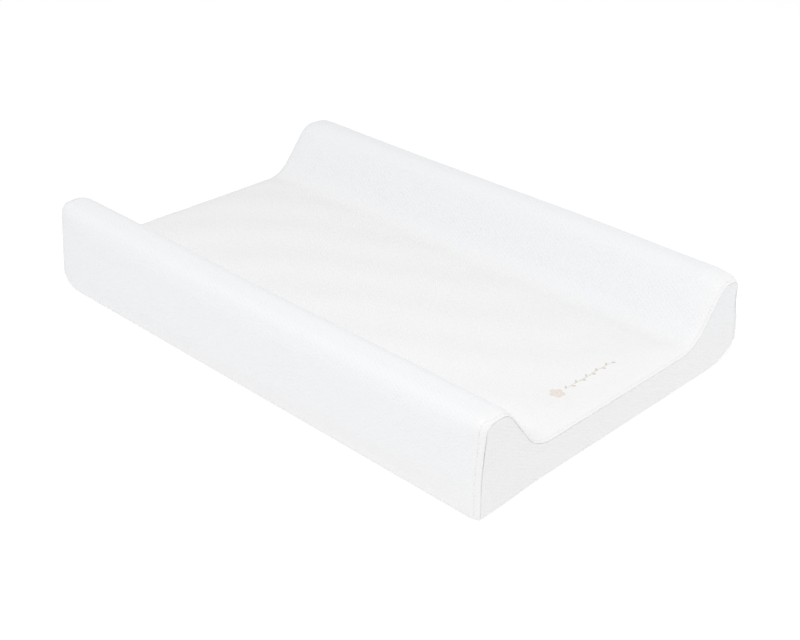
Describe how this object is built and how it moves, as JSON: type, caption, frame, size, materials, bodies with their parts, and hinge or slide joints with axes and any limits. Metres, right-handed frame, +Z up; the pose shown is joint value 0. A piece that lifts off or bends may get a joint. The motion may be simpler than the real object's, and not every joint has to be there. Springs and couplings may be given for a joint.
{
  "type": "changing pad",
  "caption": "Contoured baby changing pad: foam core with raised bolsters along both sides and open ends, in a sewn leatherette cover with a zip in its rear end.",
  "frame": {"origin": "centre of the footprint on the underside", "axes": "+X across the pad, +Y along the bolsters towards the rear (zip) end, +Z up"},
  "size_m": [0.46, 0.7, 0.112],
  "materials": {
    "cover_leatherette": "matte pebbled white leatherette",
    "end_leatherette": "matte pebbled white leatherette",
    "base_leatherette": "matte pebbled white leatherette",
    "core_foam": "open-cell polyurethane foam",
    "bolster_foam": "open-cell polyurethane foam, firmer grade",
    "zip_tape": "woven polyester tape",
    "zip_teeth": "nylon",
    "zip_metal": "satin nickel on zinc alloy",
    "thread": "twisted polyester sewing thread",
    "label_satin": "blank satin ribbon",
    "print_ink": "flexible screen-print ink, pale beige"
  },
  "bodies": {
    "pad": {"center_foam": "core_foam", "left_bolster_foam": "bolster_foam", "right_bolster_foam": "bolster_foam", "main_panel": "cover_leatherette", "bottom_panel": "base_leatherette", "front_end_panel": "end_leatherette", "rear_upper_panel": "end_leatherette", "rear_lower_panel": "end_leatherette", "zipper_tape_upper": "zip_tape", "zipper_tape_lower": "zip_tape", "zipper_chain_upper": "zip_teeth", "zipper_chain_lower": "zip_teeth", "zipper_top_stops": "zip_metal", "zipper_bottom_stop": "zip_metal", "zipper_end_tabs": "end_leatherette", "front_topstitching": "thread", "rear_topstitching": "thread", "zipper_stitching": "thread", "care_label": "label_satin", "printed_motif": "print_ink"},
    "slider": {"zipper_slider": "zip_metal"},
    "pull": {"zipper_pull": "zip_metal"}
  },
  "joints": [
    {"name": "zip_slide", "type": "slide", "parent": "pad", "child": "slider", "axis": [1, 0, 0], "range_m": [0, 0.365], "deforming": ["zipper_chain_upper", "zipper_chain_lower"]},
    {"name": "pull_swing", "type": "hinge", "parent": "slider", "child": "pull", "pos_m": [-0.186, 0.3485, 0.024], "axis": [0, 0, 1], "range_deg": [0, 165]}
  ]
}
